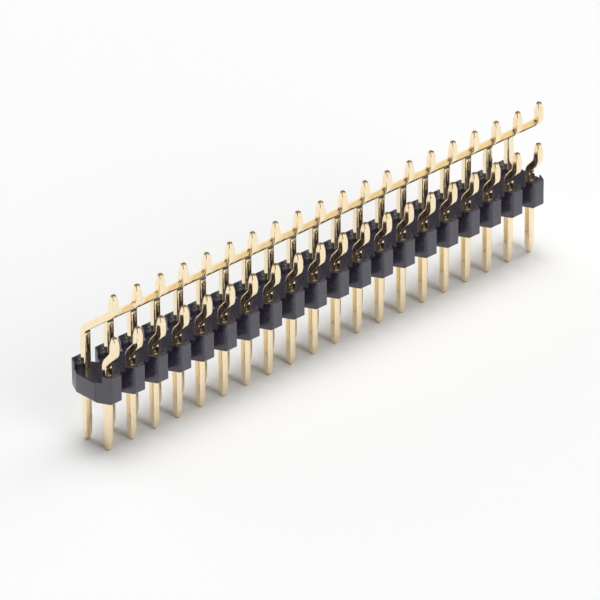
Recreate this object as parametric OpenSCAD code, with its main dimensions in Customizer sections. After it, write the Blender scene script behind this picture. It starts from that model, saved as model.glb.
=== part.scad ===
// Dual-row right-angle surface-mount pin header strip.
// The strip stands on its straight mating pins. X runs along the strip, +Z points from the
// mating tips to the solder feet, and the solder feet lie in a plane on the -Y side.
// The origin is the centre of the pin grid, at the height of the mating tips.

/* [Grid] */
// Number of units along the strip, each with one short pin and one long pin
units = 20; // [2:1:29]
// Distance between neighbouring pins along the strip
pitch = 2.54; // [2:0.01:3.3]
// Distance between the two rows of pins
row_gap = 2.54; // [2.1:0.01:2.9]

/* [Housing] */
// Width across the flats of the front and back faces
housing_w = 4.92; // [4.6:0.01:6.2]
// Height of the housing along the pins, with its tabs
housing_h = 2.45; // [1.6:0.05:4]
// Width of the vee notch between two units, at the housing's face
notch_mouth = 1.24; // [0.9:0.02:1.36]
// Width of the narrow floor of a vee notch
notch_floor = 0.2; // [0.1:0.02:0.6]
// Depth of a vee notch
notch_depth = 1.3; // [0.6:0.05:1.7]
// Bevel along the mating-side edge of the flats and ends
bevel = 0.14; // [0.05:0.01:0.3]

/* [Tabs] */
// Height of the tabs that stand on the solder side, in front of and behind the pins
tab_h = 0.57; // [0.3:0.01:1.2]
// Width of a tab along the strip
tab_w = 1.76; // [1.4:0.02:1.9]
// Thickness of a tab, inwards from the housing's flat
tab_d = 0.8; // [0.5:0.02:0.8]
// Radius of the dish that is sunk into a tab, at the tab's top
dish_r = 0.97; // [0.85:0.01:1.1]
// Radius of the dish at the tab's foot
dish_floor_r = 0.16; // [0.05:0.01:0.4]
// Distance from the housing's flat in to the centre of the dish
dish_inset = 0.81; // [0.75:0.01:0.95]

/* [Pins] */
// Width of the square pin wire
pin_w = 0.64; // [0.4:0.01:0.8]
// Play around each pin in its square hole, on each side
hole_play = 0; // [0:0.005:0.05]
// Length of each pin below the housing, down to its tip
mating_l = 4.8; // [3:0.1:8]
// Width of the blunt end of a mating tip
tip_w = 0.32; // [0.15:0.01:0.38]
// Length of the taper at a mating tip
tip_l = 0.85; // [0.3:0.05:1.2]

/* [Solder feet] */
// Distance from the housing's front flats out to the plane of the solder feet
foot_proud = 0.14; // [0.05:0.01:0.4]
// Straight length of a solder foot, with its taper
foot_l = 1.3; // [0.8:0.05:2.5]
// Width of the blunt end of a solder foot
foot_tip_w = 0.38; // [0.15:0.01:0.39]
// Length of the taper at the end of a solder foot
foot_tip_l = 0.75; // [0.3:0.05:0.8]

/* [Short pins] */
// Straight length of a short pin between the housing and its first bend
short_rise = 0.49; // [0.1:0.01:1]
// Lean of the short pin's sloping stretch from upright
short_lean = 42; // [30:1:46]
// Centreline radius of both bends of a short pin
short_bend_r = 0.8; // [0.5:0.05:0.95]

/* [Long pins] */
// Straight length of a long pin between the housing and its first bend
long_rise = 2.71; // [2:0.01:5]
// Lean of the long pin's sloping run from upright
long_lean = 53; // [45:1:62]
// Centreline radius of the bend at the top of the leg
leg_bend_r = 0.7; // [0.5:0.05:1.2]
// Centreline radius of the bend above the run, at the solder foot
foot_bend_r = 0.8; // [0.5:0.05:1.2]

/* [Hidden] */
// Smoothness of the dishes
$fn = 96;
// Number of short flats that make up each bend of a pin
bend_steps = 12;
// How far a cutting shape reaches past what it cuts
past = 1;
strip_l = units * pitch;
flat_w = pitch - notch_mouth;
web_y = housing_w / 2 - notch_depth;
housing_top = mating_l + housing_h;
tab_foot = housing_top - tab_h;
foot_y = -(housing_w / 2 + foot_proud - pin_w / 2);

function two_digits(n) = str(n < 10 ? "0" : "", n);
function pin_name(row, unit) = str(row, "_pin_", two_digits(unit));
function unit_x(unit) = (unit - (units + 1) / 2) * pitch;

// ---- Housing ----

// Corners of the front edge in one unit: half a notch, the flat, half a notch
function front_corners(x) = [
    [x - (pitch - notch_floor) / 2, -web_y],
    [x - flat_w / 2, -housing_w / 2],
    [x + flat_w / 2, -housing_w / 2],
    [x + (pitch - notch_floor) / 2, -web_y]
];

// The same corners turned about the strip's centre, which makes the back edge
function turned(points) = [for (p = points) -p];

// Outline seen along the pins, with vee notches between the units and half notches at the ends
module housing_outline() {
    front = [for (unit = [1 : units]) each front_corners(unit_x(unit))];
    ends = [[strip_l / 2, -web_y], [strip_l / 2, web_y]];
    polygon(concat(front, ends, turned(front), turned(ends)));
}

// Room above the tabs' feet, between the two rows of tabs and between neighbouring tabs
module space_around_tabs() {
    channel_w = housing_w - 2 * tab_d;
    gap_w = pitch - tab_w;
    translate([-strip_l / 2 - past, -channel_w / 2, tab_foot])
        cube([strip_l + 2 * past, channel_w, tab_h + past]);
    for (gap = [0 : units])
        translate([(gap - units / 2) * pitch - gap_w / 2, -housing_w / 2 - past, tab_foot])
            cube([gap_w, housing_w + 2 * past, tab_h + past]);
}

// Conical dish sunk into the front tab (side = -1) or the back tab (side = 1) of a unit
module dish(x, side) {
    flare = (dish_r - dish_floor_r) / tab_h;
    translate([x, side * (housing_w / 2 - dish_inset), tab_foot])
        cylinder(r1 = dish_floor_r, r2 = dish_r + flare * past, h = tab_h + past);
}

// Bevelled mating-side edge, as a prism to cut away along an edge of length l
module edge_bevel(l) {
    translate([-l / 2, 0, mating_l])
        rotate([45, 0, 0])
            translate([0, -bevel / sqrt(2), -bevel / sqrt(2)])
                cube([l, bevel * sqrt(2), bevel * sqrt(2)]);
}

// Square through hole that a pin is pressed into
module pin_hole(x, y) {
    w = pin_w + 2 * hole_play;
    translate([x - w / 2, y - w / 2, mating_l - past])
        cube([w, w, housing_h + 2 * past]);
}

// One moulded insulator for all the pins
module housing() {
    color([0.1, 0.1, 0.12])
        difference() {
            translate([0, 0, mating_l])
                linear_extrude(housing_h)
                    housing_outline();
            space_around_tabs();
            for (unit = [1 : units], side = [-1, 1]) {
                dish(unit_x(unit), side);
                pin_hole(unit_x(unit), side * row_gap / 2);
            }
            for (side = [-1, 1]) {
                translate([0, side * housing_w / 2, 0])
                    edge_bevel(strip_l + 2 * past);
                translate([side * strip_l / 2, 0, 0])
                    rotate([0, 0, 90])
                        edge_bevel(housing_w);
            }
        }
}

// ---- Pins ----
// A pin's side view is drawn with the first axis towards its solder foot and the second axis up.

// Points along an arc with centre c and radius r, from angle a to angle b
function arc(c, r, a, b) = [
    for (i = [0 : bend_steps])
        let (turn = a + (b - a) * i / bend_steps)
            c + r * [cos(turn), sin(turn)]
];

// Rise of the wire from the start of its first bend to the end of its second
function bend_rise(offset, lean, r1, r2) = offset / tan(lean) + (r1 + r2) * tan(lean / 2);

// End of a foot that is centred at the given place and reaches up to top, as corners to go round
function foot_end(middle, top) = [
    [middle + pin_w / 2, top - foot_tip_l],
    [middle + foot_tip_w / 2, top],
    [middle - foot_tip_w / 2, top],
    [middle - pin_w / 2, top - foot_tip_l]
];

// Side view of a whole pin: tapered tip, shank, bend, sloping run, bend back, tapered solder foot
module side_view(shank_l, offset, lean, r1, r2) {
    half = pin_w / 2;
    foot_start = shank_l + bend_rise(offset, lean, r1, r2);
    c1 = [r1, shank_l];
    c2 = [offset - r2, foot_start];
    polygon(concat(
        [[-tip_w / 2, 0], [tip_w / 2, 0], [half, tip_l]],
        arc(c1, r1 - half, 180, 180 - lean),
        arc(c2, r2 + half, -lean, 0),
        foot_end(offset, foot_start + foot_l),
        arc(c2, r2 - half, 0, -lean),
        arc(c1, r1 + half, 180 - lean, 180),
        [[-half, tip_l]]
    ));
}

// Front view of a whole pin, with the same tapers at its two ends
module front_view(top) {
    half = pin_w / 2;
    polygon(concat(
        [[-tip_w / 2, 0], [tip_w / 2, 0], [half, tip_l]],
        foot_end(0, top),
        [[-half, tip_l]]
    ));
}

// Pin bent from square wire, standing on its tip at the given place
module bent_pin(x, y, rise, lean, r1, r2) {
    shank_l = housing_top + rise;
    offset = y - foot_y;
    top = shank_l + bend_rise(offset, lean, r1, r2) + foot_l;
    color([0.85, 0.7, 0.4])
        translate([x, y, 0])
            intersection() {
                rotate([90, 0, -90])
                    translate([0, 0, -past])
                        linear_extrude(2 * past)
                            side_view(shank_l, offset, lean, r1, r2);
                translate([0, past, 0])
                    rotate([90, 0, 0])
                        linear_extrude(offset + 2 * past)
                            front_view(top);
            }
}

// Front-row pin, with an S-bend down to the plane of the feet
module short_pin(unit) {
    bent_pin(unit_x(unit), -row_gap / 2, short_rise, short_lean, short_bend_r, short_bend_r);
}

// Back-row pin, which reaches over the short pin of its unit to the plane of the feet
module long_pin(unit) {
    bent_pin(unit_x(unit), row_gap / 2, long_rise, long_lean, leg_bend_r, foot_bend_r);
}

housing();
for (unit = [1 : units]) {
    short_pin(unit);
    long_pin(unit);
}
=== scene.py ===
# Looks for a dual-row right-angle surface-mount pin header strip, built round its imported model.
# The strip stands on its mating tips; X runs along it, the solder feet are at the -Y side, up.
import math

import bmesh
import bpy
from bpy.props import FloatProperty, FloatVectorProperty, IntProperty, PointerProperty
from bpy.types import Operator, Panel, PropertyGroup
from mathutils import Matrix, Vector


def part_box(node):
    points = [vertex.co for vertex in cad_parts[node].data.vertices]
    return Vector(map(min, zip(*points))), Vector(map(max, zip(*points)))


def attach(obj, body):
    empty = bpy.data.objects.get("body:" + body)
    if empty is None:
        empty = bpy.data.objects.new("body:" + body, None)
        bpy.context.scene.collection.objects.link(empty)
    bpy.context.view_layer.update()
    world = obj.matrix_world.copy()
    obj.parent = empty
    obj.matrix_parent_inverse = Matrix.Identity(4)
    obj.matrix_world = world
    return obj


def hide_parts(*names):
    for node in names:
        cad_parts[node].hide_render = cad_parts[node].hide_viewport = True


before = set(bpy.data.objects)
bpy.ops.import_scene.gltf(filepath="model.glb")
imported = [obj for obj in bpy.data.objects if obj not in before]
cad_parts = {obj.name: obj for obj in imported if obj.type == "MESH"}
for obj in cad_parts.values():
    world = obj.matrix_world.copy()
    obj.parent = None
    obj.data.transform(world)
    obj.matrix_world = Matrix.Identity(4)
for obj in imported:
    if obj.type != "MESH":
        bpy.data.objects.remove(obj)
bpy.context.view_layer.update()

bl_info = {
    "name": "Right-angle pin header strip",
    "version": (1, 0, 0),
    "blender": (4, 5, 0),
    "location": "3D View > Sidebar > Header strip",
    "description": "Models a dual-row right-angle pin header strip in moulded plastic and plated wire",
    "category": "Object",
}

SHORT_NODES = sorted(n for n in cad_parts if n.startswith("short_pin"))
LONG_NODES = sorted(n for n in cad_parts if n.startswith("long_pin"))
PER_METRE = 1000.0  # pieces are modelled in millimetres, then brought to metres
NEAR = 1e-3  # two places closer than this, in millimetres, are taken as the same
FACING = 0.99  # a face looks along an axis when its normal's share of that axis is above this
PAST = 1.0  # how far a cutter reaches beyond what it cuts, in millimetres
SMOOTH_ANGLE = math.radians(35)  # edges that turn by more than this stay crisp
# The soft glows of the room. Each has a turn from the front, a height above the level and a reach,
# which are in degrees, and then a strength. A turn of 90 is towards the far end, +X.
GLOWS = (
    (0, 90, 34, 1.0), (0, 27, 34, 1.25), (85, 27, 32, 0.95),
    (0, 7, 34, 1.3), (45, 7, 34, 0.5), (90, 7, 34, 0.9), (135, 7, 34, 0.22), (180, 7, 34, 1.4),
    (0, 90, 17, 2.95), (90, 73, 17, 2.1), (135, 73, 17, 2.55), (180, 73, 17, 2.5),
    (90, 53, 17, 0.7), (0, 32, 17, 1.6), (180, 32, 17, 0.6),
    (0, 13, 17, 0.9), (150, 13, 17, 0.3), (180, 13, 17, 0.7),
)


def box_mm(node):
    """Lowest and highest corner of a CAD node, in millimetres."""
    low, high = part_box(node)
    return low * PER_METRE, high * PER_METRE


def middle_x(node):
    """X of the middle of a CAD node, in millimetres."""
    low, high = box_mm(node)
    return (low.x + high.x) / 2


# width of the square wire, and distance between neighbouring pins, in millimetres
WIRE = box_mm(SHORT_NODES[0])[1].x - box_mm(SHORT_NODES[0])[0].x
PITCH = (middle_x(SHORT_NODES[-1]) - middle_x(SHORT_NODES[0])) / (len(SHORT_NODES) - 1)


# ---- Sizes and colours ----


def length(name, description, default):
    """A length in metres."""
    return FloatProperty(
        name=name, description=description, default=default, min=0.0, precision=5,
        subtype="DISTANCE", unit="LENGTH",
    )


def share(name, description, default):
    """A number from 0 to 1."""
    return FloatProperty(
        name=name, description=description, default=default, min=0.0, max=1.0, subtype="FACTOR"
    )


def angle(name, description, degrees):
    """An angle, which is given in degrees and kept in radians."""
    return FloatProperty(
        name=name, description=description, default=math.radians(degrees), subtype="ANGLE",
        unit="ROTATION",
    )


def colour(name, description, default):
    """A linear colour."""
    return FloatVectorProperty(
        name=name, description=description, default=default, size=3, min=0.0, max=1.0,
        subtype="COLOR",
    )


class HousingSizes(PropertyGroup):
    """Sizes of the moulded insulator"""

    notch_mouth: length("Notch mouth", "Width of a vee notch at the housing's face", 0.00124)
    notch_floor: length("Notch floor", "Width of a vee notch's narrow floor", 0.0002)
    notch_depth: length("Notch depth", "Depth of a vee notch", 0.0013)
    base_bevel: length("Base bevel", "Bevel along the mating-side edge", 0.00014)
    tab_height: length("Tab height", "Height of the tabs beside the pins", 0.00057)
    tab_width: length("Tab width", "Width of a tab along the strip", 0.00176)
    tab_depth: length("Tab depth", "Thickness of a tab, inwards from the face", 0.0008)
    dish_radius: length("Dish radius", "Half the dish's width along the strip, at its top", 0.00076)
    dish_reach: length("Dish reach", "How far the dish reaches from its centre to the face", 0.00067)
    dish_foot_radius: length("Dish foot radius", "Radius of the dish at a tab's foot", 0.00016)
    dish_inset: length("Dish inset", "Distance from the face in to the dish's centre", 0.00081)
    hole_play: length("Hole play", "Room round a pin in its hole, on each side", 0.00001)
    edge_radius: length("Edge radius", "Rounding of the moulded upright edges", 0.00006)
    end_radius: length("End radius", "Size of the rounding at the strip's end corners", 0.000092)
    rim_radius: length("Rim radius", "Rounding of the thin rims round a dish", 0.00003)
    rim_start: length("Rim start", "Height above a tab's foot where the rounding starts", 0.0001)


class PinSizes(PropertyGroup):
    """Sizes of the bent pins of both rows"""

    tip_width: length("Tip width", "Width of the blunt end of a mating tip", 0.00032)
    tip_length: length("Tip length", "Length of the taper at a mating tip", 0.00085)
    foot_length: length("Foot length", "Straight length of a solder foot", 0.0013)
    foot_tip_width: length("Foot end width", "Width of the blunt end of a foot", 0.00038)
    foot_tip_length: length("Foot taper", "Length of the taper at a foot's end", 0.00075)
    short_lean: angle("Short lean", "Lean of a short pin's slope from upright", 42)
    short_bend: length("Short bend", "Centreline radius of a short pin's bends", 0.0008)
    long_lean: angle("Long lean", "Lean of a long pin's run from upright", 53)
    leg_bend: length("Leg bend", "Centreline radius of the bend at the top of a leg", 0.0007)
    foot_bend: length("Foot bend", "Centreline radius of the bend at a long pin's foot", 0.0008)
    bend_steps: IntProperty(name="Bend steps", description="Rings in a bend", default=14, min=4)
    bend_swell: share("Bend swell", "How far the inner side of a bend swells sideways", 0.13)
    bend_draw: share("Bend draw", "How far the outer side of a bend draws in sideways", 0.09)
    swell_reach: length("Swell reach", "How far along the wire a bend's swelling fades", 0.00055)
    corner_radius: length("Corner radius", "Rounding of the drawn wire's corners", 0.00012)
    end_radius: length("End radius", "Rounding of the cut ends", 0.00003)


class Finishes(PropertyGroup):
    """Colours and gloss of the plastic and the plating"""

    plastic: colour("Plastic", "Moulded insulator", (0.018, 0.014, 0.034))
    plastic_roughness: share("Plastic roughness", "How matt the insulator is", 0.24)
    plastic_index: FloatProperty(
        name="Plastic index", description="Index of refraction of the insulator", default=1.9,
        min=1.0,
    )
    gold: colour("Plating", "Pale gold plating", (0.98, 0.84, 0.61))
    gold_roughness: share("Plating roughness", "How matt the plating is", 0.07)
    cut_end: colour("Cut ends", "Darker metal where the wire was cut", (0.62, 0.45, 0.27))
    cut_roughness: share("Cut roughness", "How matt a cut end is", 0.36)


class StageSizes(PropertyGroup):
    """The floor and the camera"""

    floor: colour("Floor", "Colour of the pale floor", (0.97, 0.97, 0.97))
    floor_size: length("Floor size", "Side of the square floor", 8.0)
    lens: FloatProperty(name="Lens", description="Focal length", default=410.76, unit="CAMERA")
    distance: length("Distance", "From the camera to the point it looks at", 0.568)
    sensor: FloatProperty(name="Sensor", description="Width of the sensor", default=36.0, unit="CAMERA")
    aim: FloatVectorProperty(
        name="Aim", description="Point that the camera looks at", size=3, precision=5,
        default=(-0.00107332, 0.00047258, 0.00428961), subtype="TRANSLATION", unit="LENGTH",
    )
    azimuth: angle("Azimuth", "Turn of the camera round the strip, from the front", -43.215)
    elevation: angle("Elevation", "Height of the camera above the level", 28.916)
    roll: angle("Roll", "Turn of the camera about its own line of sight", -0.46)
    near_clip: length("Near clip", "Nearest distance that the camera sees", 0.01)
    far_clip: length("Far clip", "Furthest distance that the camera sees", 20.0)


# ---- Working by hand, in code ----


def let_go():
    """Leaves edit mode and selects nothing."""
    if bpy.context.mode != "OBJECT":
        bpy.ops.object.mode_set(mode="OBJECT")
    bpy.ops.object.select_all(action="DESELECT")


def hold(*things):
    """Selects only these objects and makes the first one active."""
    let_go()
    for thing in things:
        thing.select_set(True)
    bpy.context.view_layer.objects.active = things[0]


def block(name, low, high):
    """A cube between two corners, as a new object with its size applied."""
    let_go()
    low, high = Vector(low), Vector(high)
    bpy.ops.mesh.primitive_cube_add(size=1, location=(low + high) / 2, scale=high - low)
    made = bpy.context.active_object
    made.name = name
    bpy.ops.object.transform_apply(location=True, rotation=True, scale=True)
    return made


def pick(kind, test):
    """In edit mode, selects the verts, edges or faces that pass a test, and says how many."""
    mode = {"verts": "VERT", "edges": "EDGE", "faces": "FACE"}[kind]
    bpy.ops.mesh.select_mode(type=mode)
    bpy.ops.mesh.select_all(action="DESELECT")
    data = bpy.context.edit_object.data
    mesh = bmesh.from_edit_mesh(data)
    mesh.normal_update()
    found = [part for part in getattr(mesh, kind) if test(part)]
    for part in found:
        part.select_set(True)
    mesh.select_flush_mode()
    bmesh.update_edit_mesh(data)
    return len(found)


def centre(part):
    """Mean of an edge's or a face's corners."""
    return sum((v.co for v in part.verts), Vector()) / len(part.verts)


def cut(point, normal, clear=False):
    """In edit mode, slices the whole mesh by a plane, and may clear what is beyond it."""
    bpy.ops.mesh.select_all(action="SELECT")
    bpy.ops.mesh.bisect(
        plane_co=point, plane_no=normal, use_fill=clear, clear_outer=clear, threshold=1e-5
    )


def edit(thing):
    """Holds one object and enters edit mode."""
    hold(thing)
    bpy.ops.object.mode_set(mode="EDIT")


def subtract(thing, cutter):
    """Cuts one object's shape out of another and deletes the cutter."""
    hold(thing)
    step = thing.modifiers.new("Cut", "BOOLEAN")
    step.operation = "DIFFERENCE"
    step.solver = "EXACT"
    step.object = cutter
    bpy.ops.object.modifier_apply(modifier=step.name)
    hold(cutter)
    bpy.ops.object.delete()
    hold(thing)


def to_metres(thing):
    """Brings a piece modelled in millimetres to metres, with nothing left on the object."""
    hold(thing)
    thing.scale = (1 / PER_METRE,) * 3
    bpy.ops.object.transform_apply(location=True, rotation=True, scale=True)


def is_sharp(edge, degrees=28.0):
    """Whether the two faces at an edge meet at more than this angle."""
    return len(edge.link_faces) == 2 and edge.calc_face_angle(0.0) > math.radians(degrees)


def finish_piece(piece, material, nodes):
    """Gives a finished piece its material and its body, and hides the CAD nodes that it stands for."""
    hold(piece)
    bpy.ops.object.shade_smooth_by_angle(angle=SMOOTH_ANGLE)
    piece.data.materials.clear()
    piece.data.materials.append(material)
    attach(piece, "root")
    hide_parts(*nodes)


# ---- Materials ----


def new_material(name):
    """A node material with its shader."""
    material = bpy.data.materials.new(name)
    material.use_nodes = True
    return material, material.node_tree.nodes["Principled BSDF"]


def add_node(tree, kind, inputs, **values):
    """Adds a node, sets its own values and gives the named sockets theirs."""
    node = tree.nodes.new(kind)
    for key, value in values.items():
        setattr(node, key, value)
    for socket, value in inputs.items():
        node.inputs[socket].default_value = value
    return node


def spread(tree, low, high, middle, below, above):
    """Stretches the middle of a noise to a range that lies round a value."""
    return add_node(
        tree, "ShaderNodeMapRange",
        {"From Min": low, "From Max": high, "To Min": middle - below, "To Max": middle + above},
    )


def two_tones(tree, first, last):
    """A ramp between two tones, each given as its place in the noise and its colour."""
    tint = tree.nodes.new("ShaderNodeValToRGB")
    for stop, (place, tone) in zip(tint.color_ramp.elements, (first, last)):
        stop.position, stop.color = place, (*tone, 1)
    return tint


def moulded_plastic(finish):
    """Glass-filled black insulator: fine grain, faint flow mottle and uneven gloss.

    Its noises run in metres, so that a scale of 1000 makes patches about a millimetre wide.
    """
    material, shader = new_material("moulded_plastic")
    tree = material.node_tree
    place = tree.nodes.new("ShaderNodeTexCoord")
    grain = add_node(
        tree, "ShaderNodeTexNoise", {"Scale": 16000, "Detail": 4, "Roughness": 0.65}
    )
    mottle = add_node(tree, "ShaderNodeTexNoise", {"Scale": 1400, "Detail": 3})
    base = Vector(finish.plastic)
    tint = two_tones(tree, (0.3, base * 0.78), (0.7, base * 1.22))
    gloss = spread(tree, 0.3, 0.7, finish.plastic_roughness, 0.07, 0.09)
    relief = add_node(tree, "ShaderNodeBump", {"Strength": 0.35, "Distance": 0.00001})
    shader.inputs["IOR"].default_value = finish.plastic_index
    for start, end in (
        (place.outputs["Object"], grain.inputs["Vector"]),
        (place.outputs["Object"], mottle.inputs["Vector"]),
        (mottle.outputs["Fac"], tint.inputs["Fac"]),
        (tint.outputs["Color"], shader.inputs["Base Color"]),
        (grain.outputs["Fac"], gloss.inputs["Value"]),
        (gloss.outputs["Result"], shader.inputs["Roughness"]),
        (grain.outputs["Fac"], relief.inputs["Height"]),
        (relief.outputs["Normal"], shader.inputs["Normal"]),
    ):
        tree.links.new(start, end)
    return material


def gold_plating(finish):
    """Thin pale gold over drawn wire: streaks along it, soft spots, and browner cut ends.

    A pin carries its own place along and across the wire, and where it was cut, as attributes.
    The first of them is in millimetres, and the streaks are stretched along the wire.
    """
    material, shader = new_material("gold_plating")
    tree = material.node_tree
    wire = add_node(tree, "ShaderNodeAttribute", {}, attribute_name="wire")
    cut_ends = add_node(tree, "ShaderNodeAttribute", {}, attribute_name="cut")
    stretch = add_node(tree, "ShaderNodeMapping", {"Scale": (40, 40, 1.1)})
    streaks = add_node(tree, "ShaderNodeTexNoise", {"Scale": 1.0, "Detail": 3})
    spots = add_node(tree, "ShaderNodeTexNoise", {"Scale": 3.2, "Detail": 4})
    base = Vector(finish.gold)
    deep = (base.x * 0.96, base.y * 0.92, base.z * 0.82)
    tint = two_tones(tree, (0.3, deep), (0.65, base))
    gloss = spread(tree, 0.3, 0.7, finish.gold_roughness, 0.03, 0.04)
    brown = add_node(tree, "ShaderNodeMix", {}, data_type="RGBA")
    brown.inputs["B"].default_value = (*finish.cut_end, 1)
    matt = add_node(tree, "ShaderNodeMix", {}, data_type="FLOAT")
    matt.inputs["B"].default_value = finish.cut_roughness
    relief = add_node(tree, "ShaderNodeBump", {"Strength": 0.25, "Distance": 0.000006})
    shader.inputs["Metallic"].default_value = 1.0
    for start, end in (
        (wire.outputs["Vector"], stretch.inputs["Vector"]),
        (stretch.outputs["Vector"], streaks.inputs["Vector"]),
        (wire.outputs["Vector"], spots.inputs["Vector"]),
        (spots.outputs["Fac"], tint.inputs["Fac"]),
        (cut_ends.outputs["Fac"], brown.inputs["Factor"]),
        (tint.outputs["Color"], brown.inputs["A"]),
        (brown.outputs["Result"], shader.inputs["Base Color"]),
        (streaks.outputs["Fac"], gloss.inputs["Value"]),
        (cut_ends.outputs["Fac"], matt.inputs["Factor"]),
        (gloss.outputs["Result"], matt.inputs["A"]),
        (matt.outputs["Result"], shader.inputs["Roughness"]),
        (streaks.outputs["Fac"], relief.inputs["Height"]),
        (relief.outputs["Normal"], shader.inputs["Normal"]),
    ):
        tree.links.new(start, end)
    return material


# ---- Housing ----


def meets_neighbour(side):
    """Whether a face of a unit is one of the two where it meets its neighbours."""
    return abs(side.normal.x) > FACING and abs(centre(side).x) > PITCH / 2 - NEAR


class STRIP_OT_housing(Operator):
    """Moulds the notched insulator of all the units, with its dished tabs and its pin holes"""

    bl_idname = "strip.housing"
    bl_label = "Housing"

    def execute(self, context):
        sizes = context.scene.strip_housing
        size = {k: getattr(sizes, k) * PER_METRE for k in sizes.__annotations__}
        low, high = box_mm("housing")
        piece = self.unit(size, low, high)
        self.repeat(piece, size, low, high)
        to_metres(piece)
        piece.name = piece.data.name = "moulded_housing"
        finish_piece(piece, moulded_plastic(context.scene.strip_finishes), ["housing"])
        return {"FINISHED"}

    def unit(self, size, low, high):
        """One unit of the strip, centred on X, open at the two sides where it meets its neighbours."""
        face, base, top = high.y, low.z, high.z
        foot = top - size["tab_height"]
        web = face - size["notch_depth"]
        half_flat = (PITCH - size["notch_mouth"]) / 2
        half_block = (PITCH - size["notch_floor"]) / 2
        unit = block("unit", (-half_block, -face, base), (half_block, face, foot))
        edit(unit)
        for x in (-1, 1):
            for y in (-1, 1):
                slope = (x * size["notch_depth"], y * (half_block - half_flat), 0)
                cut((x * half_block, y * web, base), slope, clear=True)
        # webs out to the next units
        for x in (-1, 1):
            pick("faces", lambda f: f.normal.x * x > FACING)
            bpy.ops.mesh.extrude_region_move(
                TRANSFORM_OT_translate={"value": (x * size["notch_floor"] / 2, 0, 0)}
            )
        # tabs raised from the solder side
        for x in (-1, 1):
            cut((x * size["tab_width"] / 2, 0, 0), (1, 0, 0))
        for y in (-1, 1):
            cut((0, y * (face - size["tab_depth"]), 0), (0, 1, 0))
        pick(
            "faces",
            lambda f: f.normal.z > FACING
            and abs(centre(f).x) < size["tab_width"] / 2
            and abs(centre(f).y) > face - size["tab_depth"],
        )
        bpy.ops.mesh.extrude_region_move(
            TRANSFORM_OT_translate={"value": (0, 0, size["tab_height"])}
        )
        # bevel along the mating side
        for y in (-1, 1):
            cut((0, y * (face - size["base_bevel"]), base), (0, y, -1), clear=True)
        pick("faces", meets_neighbour)
        bpy.ops.mesh.dissolve_faces()
        bpy.ops.mesh.select_all(action="SELECT")
        bpy.ops.mesh.dissolve_limited(angle_limit=math.radians(1))
        for y in (-1, 1):
            subtract(unit, self.dish(size, y * (face - size["dish_inset"]), foot, top))
        for node in (SHORT_NODES[0], LONG_NODES[0]):
            row = shank_y(node)
            half = WIRE / 2 + size["hole_play"]
            hole = block(
                "hole", (-half, row - half, base - PAST), (half, row + half, top + PAST)
            )
            subtract(unit, hole)
        edit(unit)
        # roundings: first the long upright edges, then the thin rims
        pick(
            "edges",
            lambda e: is_sharp(e)
            and abs(abs(centre(e).x) - half_flat) < NEAR
            and abs((e.verts[0].co - e.verts[1].co).normalized().z) > FACING
            and abs(abs(centre(e).y) - face) < NEAR,
        )
        bpy.ops.mesh.bevel(
            offset=size["edge_radius"], offset_type="OFFSET", segments=3, affect="EDGES",
            clamp_overlap=False,
        )
        self.rim_edges(size, face, foot)
        bpy.ops.mesh.bevel(
            offset=size["rim_radius"], offset_type="OFFSET", segments=2, affect="EDGES",
            clamp_overlap=False,
        )
        pick("faces", meets_neighbour)
        bpy.ops.mesh.delete(type="ONLY_FACE")
        let_go()
        return unit

    def dish(self, size, y, foot, top):
        """An oval cutter for a dish: flat at the tab's foot, with walls that rise steeply."""
        let_go()
        rise, wide, narrow = top - foot, size["dish_radius"], size["dish_foot_radius"]
        level = 0.02  # the height reached so far, which starts as a thin disc at the foot
        bpy.ops.mesh.primitive_cylinder_add(
            vertices=48, radius=narrow, depth=level, location=(0, y, foot + level / 2)
        )
        cutter = bpy.context.active_object
        edit(cutter)
        pick("faces", lambda f: f.normal.z > FACING)
        width = narrow
        for share_up in (0.05, 0.12, 0.22, 0.36, 0.55, 0.78, 1.0, 1.5):
            # mostly a deep bowl, with a little of a cone so that it drafts; the last step is
            # above the tab's top, where the cutter only has to be clear of it
            cone = narrow + (wide - narrow) * share_up
            deep = wide * (1 - (1 - min(share_up, 1.0)) ** 3) ** (1 / 3)
            target = 0.2 * cone + 0.8 * deep if share_up <= 1 else wide * 1.05
            bpy.ops.mesh.extrude_region_move(
                TRANSFORM_OT_translate={"value": (0, 0, rise * share_up - level)}
            )
            grow = target / width
            bpy.ops.transform.resize(value=(grow, grow, 1), center_override=(0, y, 0))
            width, level = target, rise * share_up
        bpy.ops.mesh.select_all(action="SELECT")
        oval = size["dish_reach"] / wide
        bpy.ops.transform.resize(value=(1, oval, 1), center_override=(0, y, 0))
        let_go()
        return cutter

    def rim_edges(self, size, face, foot):
        """Selects the sharp outer edges of the tabs that are well above the tabs' feet."""
        pick(
            "edges",
            lambda e: is_sharp(e, 20)
            and e.is_convex
            and min(v.co.z for v in e.verts) > foot + size["rim_start"]
            and abs(centre(e).y) > face - size["tab_depth"] - NEAR,
        )

    def repeat(self, piece, size, low, high):
        """Repeats the unit along the strip, closes its ends and bevels them."""
        hold(piece)
        row = piece.modifiers.new("Row", "ARRAY")
        row.count = len(SHORT_NODES)
        row.use_relative_offset = False
        row.use_constant_offset = True
        row.constant_offset_displace = (PITCH, 0, 0)
        row.use_merge_vertices = True
        row.merge_threshold = NEAR / 10
        bpy.ops.object.modifier_apply(modifier=row.name)
        piece.location.x = middle_x(SHORT_NODES[0])
        bpy.ops.object.transform_apply(location=True, rotation=True, scale=True)
        edit(piece)
        for x in (low.x, high.x):
            pick("edges", lambda e: e.is_boundary and abs(centre(e).x - x) < NEAR)
            bpy.ops.mesh.edge_face_add()
        for x in (-1, 1):
            edge = x * (high.x - size["base_bevel"])
            cut((edge, 0, low.z), (x, 0, -1), clear=True)
        self.soften_end_corners(size, high)
        bpy.ops.mesh.select_all(action="SELECT")
        bpy.ops.mesh.normals_make_consistent(inside=False)
        let_go()

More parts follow.
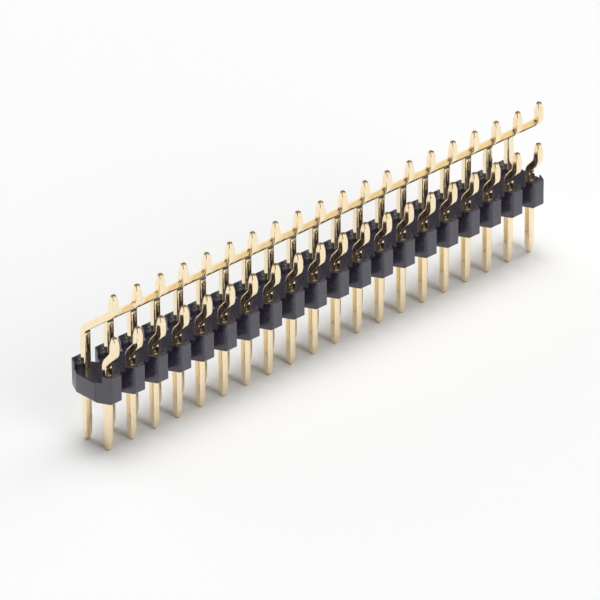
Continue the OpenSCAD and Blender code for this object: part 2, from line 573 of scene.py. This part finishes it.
    def soften_end_corners(self, size, high):
        """Rounds the upright corners between the strip's ends and its half notches."""
        web = high.y - size["notch_depth"]
        pick(
            "edges",
            lambda e: is_sharp(e)
            and all(abs(abs(v.co.x) - high.x) < NEAR for v in e.verts)
            and all(abs(abs(v.co.y) - web) < NEAR for v in e.verts),
        )
        bpy.ops.mesh.bevel(
            offset=size["end_radius"], offset_type="OFFSET", segments=4, affect="EDGES",
            clamp_overlap=False,
        )


# ---- Pins ----


def shank_y(node):
    """Y of the straight part of a pin, which its bend carries off towards -Y."""
    return box_mm(node)[1].y - WIRE / 2


class Route:
    """Side view of a bent wire: leg, first bend, sloping run, second bend, solder foot.

    The bends have centreline radii, and the lean is that of the run from upright.
    """

    def __init__(self, node, lean, first, second, foot_length):
        low, high = box_mm(node)
        self.leg_y = high.y - WIRE / 2
        self.foot_y = low.y + WIRE / 2
        self.lean, self.first, self.second = lean, first, second
        offset = self.leg_y - self.foot_y
        rise = offset / math.tan(lean) + (first + second) * math.tan(lean / 2)
        self.bottom, self.top = low.z, high.z
        self.foot_z = high.z - foot_length
        self.leg_z = self.foot_z - rise
        self.out = Vector((0, math.cos(lean), math.sin(lean)))
        self.along = Vector((0, -math.sin(lean), math.cos(lean)))
        self.centre_1 = Vector((0, self.leg_y - first, self.leg_z))
        self.centre_2 = Vector((0, self.foot_y + second, self.foot_z))
        self.run_start = self.centre_1 + self.out * first
        self.run_length = (self.centre_2 - self.out * second - self.run_start).dot(self.along)

    def place(self, point):
        """Distance across the wire, and along it from the tip, of a point in the side view."""
        flat = Vector((0, point.y, point.z))
        leg = self.leg_z - self.bottom
        reach = (flat - self.run_start).dot(self.along)
        if point.z <= self.leg_z:
            return point.y - self.leg_y, point.z - self.bottom
        if point.z >= self.foot_z and point.y < self.centre_2.y:
            bends = (self.first + self.second) * self.lean
            return point.y - self.foot_y, leg + self.run_length + bends + point.z - self.foot_z
        if reach < 0:
            arm = flat - self.centre_1
            return arm.length - self.first, leg + self.first * math.atan2(arm.z, arm.y)
        if reach > self.run_length:
            arm = flat - self.centre_2
            turned = self.lean + math.atan2(arm.z, -arm.y)
            start = leg + self.first * self.lean + self.run_length
            return self.second - arm.length, start + self.second * turned
        return (flat - self.run_start).dot(self.out), leg + self.first * self.lean + reach


def taper(y, way, full, narrow, reach):
    """In edit mode, draws the selected end face up or down to a blunt point, in rings."""
    rings, fullness = 5, 1.35
    width = full
    for ring in range(1, rings + 1):
        bpy.ops.mesh.extrude_region_move(
            TRANSFORM_OT_translate={"value": (0, 0, way * reach / rings)}
        )
        target = full - (full - narrow) * (ring / rings) ** fullness
        shrink = target / width
        bpy.ops.transform.resize(value=(shrink, shrink, 1), center_override=(0, y, 0))
        width = target


def swell(middle, inwards, size):
    """In edit mode, makes a bend wider across its inner side and narrower across its outer side."""
    close = 0.05
    for way, amount in ((1, 1 + size["bend_swell"]), (-1, 1 - size["bend_draw"])):
        place = middle + inwards * way * WIRE / 2
        if not pick("verts", lambda v: (Vector((0, v.co.y, v.co.z)) - place).length < close):
            raise RuntimeError("a bend has no ring to swell")
        bpy.ops.transform.resize(
            value=(amount, 1, 1), center_override=(0, place.y, place.z),
            use_proportional_edit=True, proportional_edit_falloff="SMOOTH",
            proportional_size=size["swell_reach"],
        )


def bent_pin(name, route, size, steps):
    """One pin of bent square wire, standing on its tip at X 0, in millimetres."""
    half = WIRE / 2
    tip = route.bottom + size["tip_length"]
    foot = route.top - route.foot_z - size["foot_tip_length"]
    pin = block(name, (-half, route.leg_y - half, tip), (half, route.leg_y + half, route.leg_z))
    edit(pin)
    # slices along the leg, which the bends and the swelling follow
    for across in (-0.5, 0, 0.5):
        cut((0, route.leg_y + across * half, 0), (0, 1, 0))
    pick("faces", lambda f: f.normal.z > FACING)
    for hub, lean, onward in (
        (route.centre_1, -route.lean, route.along * route.run_length),
        (route.centre_2, route.lean, Vector((0, 0, foot))),
    ):
        bpy.ops.mesh.spin(
            steps=steps, angle=lean, center=hub, axis=(1, 0, 0), use_auto_merge=False
        )
        bpy.ops.mesh.extrude_region_move(TRANSFORM_OT_translate={"value": onward})
    taper(route.foot_y, 1, WIRE, size["foot_tip_width"], size["foot_tip_length"])
    pick("faces", lambda f: f.normal.z < -FACING and abs(centre(f).z - tip) < NEAR)
    taper(route.leg_y, -1, WIRE, size["tip_width"], size["tip_length"])
    halfway = route.lean / 2
    out = Vector((0, math.cos(halfway), math.sin(halfway)))
    swell(route.centre_1 + out * route.first, -out, size)
    swell(route.centre_2 - out * route.second, out, size)
    bpy.ops.mesh.select_all(action="SELECT")
    bpy.ops.mesh.normals_make_consistent(inside=False)
    ends = (route.bottom, route.top)

    def at_end(edge):
        return any(all(abs(v.co.z - z) < NEAR / 10 for v in edge.verts) for z in ends)

    for is_end, radius, rings in ((False, size["corner_radius"], 5), (True, size["end_radius"], 2)):
        pick("edges", lambda e: is_sharp(e, 45) and at_end(e) == is_end)
        bpy.ops.mesh.bevel(
            offset=radius, offset_type="OFFSET", segments=rings, affect="EDGES",
            clamp_overlap=False,
        )
    let_go()
    corners = [corner.co.copy() for corner in pin.data.vertices]
    # each attribute is filled before the next is added, as adding one moves the data
    wire = pin.data.attributes.new("wire", "FLOAT_VECTOR", "POINT")
    for point, corner in zip(wire.data, corners):
        point.vector = (corner.x, *route.place(corner))
    cut_ends = pin.data.attributes.new("cut", "FLOAT", "POINT")
    for point, corner in zip(cut_ends.data, corners):
        depth = min(abs(corner.z - z) for z in ends)
        point.value = 1.0 if depth < size["end_radius"] * 1.2 else 0.0
    return pin


def row_of_pins(pattern, nodes, material):
    """Copies a pin to each unit of its row, each copy with its own mesh."""
    for number, node in enumerate(nodes, start=1):
        hold(pattern)
        bpy.ops.object.duplicate(linked=False)
        piece = bpy.context.active_object
        piece.location.x = middle_x(node)
        bpy.ops.object.transform_apply(location=True, rotation=True, scale=True)
        apart = Vector((0, 0, 23.0 * number))  # each pin takes its own stretch of the noise
        for point in piece.data.attributes["wire"].data:
            point.vector = point.vector + apart
        to_metres(piece)
        piece.name = piece.data.name = f"{pattern.name}_{number:02d}"
        finish_piece(piece, material, [node])
    hold(pattern)
    bpy.ops.object.delete()


def pin_sizes(scene):
    """The pins' sizes by name, with the lengths in millimetres."""
    sizes = scene.strip_pins
    lengths = (
        "tip_width", "tip_length", "foot_length", "foot_tip_width", "foot_tip_length",
        "corner_radius", "end_radius", "short_bend", "leg_bend", "foot_bend", "swell_reach",
    )
    size = {name: getattr(sizes, name) * PER_METRE for name in lengths}
    return size | {"bend_swell": sizes.bend_swell, "bend_draw": sizes.bend_draw}


def plating(scene):
    """The plating's material, which both rows share."""
    return bpy.data.materials.get("gold_plating") or gold_plating(scene.strip_finishes)


class STRIP_OT_short_pins(Operator):
    """Bends the short front-row pins and plates them"""

    bl_idname = "strip.short_pins"
    bl_label = "Short pins"

    def execute(self, context):
        size = pin_sizes(context.scene)
        pins = context.scene.strip_pins
        bend = size["short_bend"]
        route = Route(SHORT_NODES[0], pins.short_lean, bend, bend, size["foot_length"])
        pattern = bent_pin("short_pin_wire", route, size, pins.bend_steps)
        row_of_pins(pattern, SHORT_NODES, plating(context.scene))
        return {"FINISHED"}


class STRIP_OT_long_pins(Operator):
    """Bends the long back-row pins, which reach over the short ones, and plates them"""

    bl_idname = "strip.long_pins"
    bl_label = "Long pins"

    def execute(self, context):
        size = pin_sizes(context.scene)
        pins = context.scene.strip_pins
        route = Route(
            LONG_NODES[0], pins.long_lean, size["leg_bend"], size["foot_bend"], size["foot_length"]
        )
        pattern = bent_pin("long_pin_wire", route, size, pins.bend_steps)
        row_of_pins(pattern, LONG_NODES, plating(context.scene))
        return {"FINISHED"}


# ---- Stage ----


def towards(turn, up):
    """Unit vector at a turn from the front and a height above the level, both in radians."""
    return Vector((math.sin(turn) * math.cos(up), -math.cos(turn) * math.cos(up), math.sin(up)))


class Sky:
    """Adds nodes to the world and joins them. Every value can be a number or a node's output."""

    def __init__(self, tree):
        tree.nodes.clear()
        self.tree = tree

    def add(self, kind, **inputs):
        """Adds a node and gives its named sockets their values."""
        node = self.tree.nodes.new(kind)
        for socket, value in inputs.items():
            self.give(node.inputs[socket], value)
        return node

    def give(self, socket, value):
        """Joins a socket to a node's output, or sets it to a number."""
        if isinstance(value, bpy.types.NodeSocket):
            self.tree.links.new(value, socket)
        else:
            socket.default_value = value

    def calculate(self, operation, first, second):
        """The outcome of a Math node."""
        node = self.add("ShaderNodeMath")
        node.operation = operation
        self.give(node.inputs[0], first)
        self.give(node.inputs[1], second)
        return node.outputs["Value"]

    def ramp(self, value, start, end, low, high):
        """A value that goes smoothly from low to high between two places."""
        spans = {"From Min": start, "From Max": end, "To Min": low, "To Max": high}
        node = self.add("ShaderNodeMapRange", Value=value, **spans)
        node.interpolation_type = "SMOOTHSTEP"
        return node.outputs["Result"]

    def glow(self, place, turn, up, reach, strength):
        """A soft round glow, which is full out to a quarter of its reach."""
        facing = self.add("ShaderNodeVectorMath")
        facing.operation = "DOT_PRODUCT"
        self.give(facing.inputs[0], place)
        self.give(facing.inputs[1], towards(math.radians(turn), math.radians(up)))
        edge = math.radians(reach)
        return self.ramp(
            facing.outputs["Value"], math.cos(edge), math.cos(edge / 4), 0.0, strength
        )

    def shine(self, strength):
        """White light of some strength."""
        light = self.add("ShaderNodeBackground", Color=(1, 1, 1, 1), Strength=strength)
        return light.outputs["Background"]

    def choose(self, ray, seen, otherwise):
        """Shows one light to one kind of ray, and another light to the rest."""
        path = self.add("ShaderNodeLightPath")
        mix = self.add("ShaderNodeMixShader", Fac=path.outputs[ray])
        self.give(mix.inputs[1], otherwise)
        self.give(mix.inputs[2], seen)
        return mix.outputs["Shader"]


class STRIP_OT_stage(Operator):
    """Lays the pale floor, lights the room with soft glows and places the camera"""

    bl_idname = "strip.stage"
    bl_label = "Stage"

    def execute(self, context):
        stage = context.scene.strip_stage
        self.floor(stage)
        self.sky(context.scene)
        self.camera(context.scene, stage)
        return {"FINISHED"}

    def floor(self, stage):
        """A plain matt floor at the height of the mating tips."""
        let_go()
        bpy.ops.mesh.primitive_plane_add(size=stage.floor_size, location=(0, 0, 0))
        floor = bpy.context.active_object
        floor.name = "floor"
        material, shader = new_material("pale_floor")
        shader.inputs["Base Color"].default_value = (*stage.floor, 1)
        shader.inputs["Roughness"].default_value = 1.0
        shader.inputs["Specular IOR Level"].default_value = 0.0
        floor.data.materials.append(material)

    def sky(self, scene):
        """The glows light the strip, metal also sees a pale low backdrop, and the camera sees white."""
        world = scene.world or bpy.data.worlds.new("studio")
        scene.world = world
        world.use_nodes = True
        sky = Sky(world.node_tree)
        place = sky.add("ShaderNodeTexCoord").outputs["Generated"]
        parts = sky.add("ShaderNodeSeparateXYZ", Vector=place)
        room, *others = (sky.glow(place, *glow) for glow in GLOWS)
        for glow in others:
            room = sky.calculate("ADD", room, glow)
        low_down = sky.ramp(parts.outputs["Z"], 0.0, 0.16, 1.0, 0.05)
        behind = sky.ramp(parts.outputs["Y"], -0.5, 0.3, 0.0, 1.0)
        backdrop = sky.calculate("MULTIPLY", low_down, behind)
        mirrored = sky.shine(sky.calculate("MAXIMUM", room, backdrop))
        shown = sky.shine(room)
        shown = sky.choose("Is Glossy Ray", mirrored, shown)
        shown = sky.choose("Is Transmission Ray", mirrored, shown)
        shown = sky.choose("Is Camera Ray", sky.shine(1.0), shown)
        sky.add("ShaderNodeOutputWorld", Surface=shown)

    def camera(self, scene, stage):
        """Places the camera round the point that it looks at."""
        back = towards(stage.azimuth, stage.elevation)
        data = bpy.data.cameras.new("camera")
        camera = bpy.data.objects.new("camera", data)
        scene.collection.objects.link(camera)
        data.lens = stage.lens
        data.sensor_width = stage.sensor
        data.clip_start, data.clip_end = stage.near_clip, stage.far_clip
        place = Matrix.Translation(Vector(stage.aim) + back * stage.distance)
        facing = (-back).to_track_quat("-Z", "Y").to_matrix().to_4x4()
        spin = Matrix.Rotation(stage.roll, 4, "Z")
        camera.matrix_world = place @ facing @ spin
        scene.camera = camera
        scene.view_settings.view_transform = "Standard"


# ---- Add-on ----


class STRIP_PT_panel(Panel):
    """Lists the strip's steps, sizes and finishes"""

    bl_label = "Header strip"
    bl_idname = "STRIP_PT_panel"
    bl_space_type = "VIEW_3D"
    bl_region_type = "UI"
    bl_category = "Header strip"

    def draw(self, context):
        scene = context.scene
        for operators, group in (
            ((STRIP_OT_housing,), scene.strip_housing),
            ((STRIP_OT_short_pins, STRIP_OT_long_pins), scene.strip_pins),
            ((), scene.strip_finishes),
            ((STRIP_OT_stage,), scene.strip_stage),
        ):
            part = self.layout.box()
            for operator in operators:
                part.operator(operator.bl_idname)
            for name in group.__annotations__:
                part.prop(group, name)


CLASSES = (
    HousingSizes,
    PinSizes,
    Finishes,
    StageSizes,
    STRIP_OT_housing,
    STRIP_OT_short_pins,
    STRIP_OT_long_pins,
    STRIP_OT_stage,
    STRIP_PT_panel,
)


def register():
    """Adds the classes and the properties to Blender."""
    for kind in CLASSES:
        bpy.utils.register_class(kind)
    bpy.types.Scene.strip_housing = PointerProperty(type=HousingSizes)
    bpy.types.Scene.strip_pins = PointerProperty(type=PinSizes)
    bpy.types.Scene.strip_finishes = PointerProperty(type=Finishes)
    bpy.types.Scene.strip_stage = PointerProperty(type=StageSizes)


def unregister():
    """Takes away the properties and the classes again."""
    for name in ("strip_housing", "strip_pins", "strip_finishes", "strip_stage"):
        delattr(bpy.types.Scene, name)
    for kind in reversed(CLASSES):
        bpy.utils.unregister_class(kind)


def main():
    """Builds the strip and its stage."""
    register()
    bpy.ops.strip.housing()
    bpy.ops.strip.short_pins()
    bpy.ops.strip.long_pins()
    bpy.ops.strip.stage()


if __name__ == "__main__":
    main()
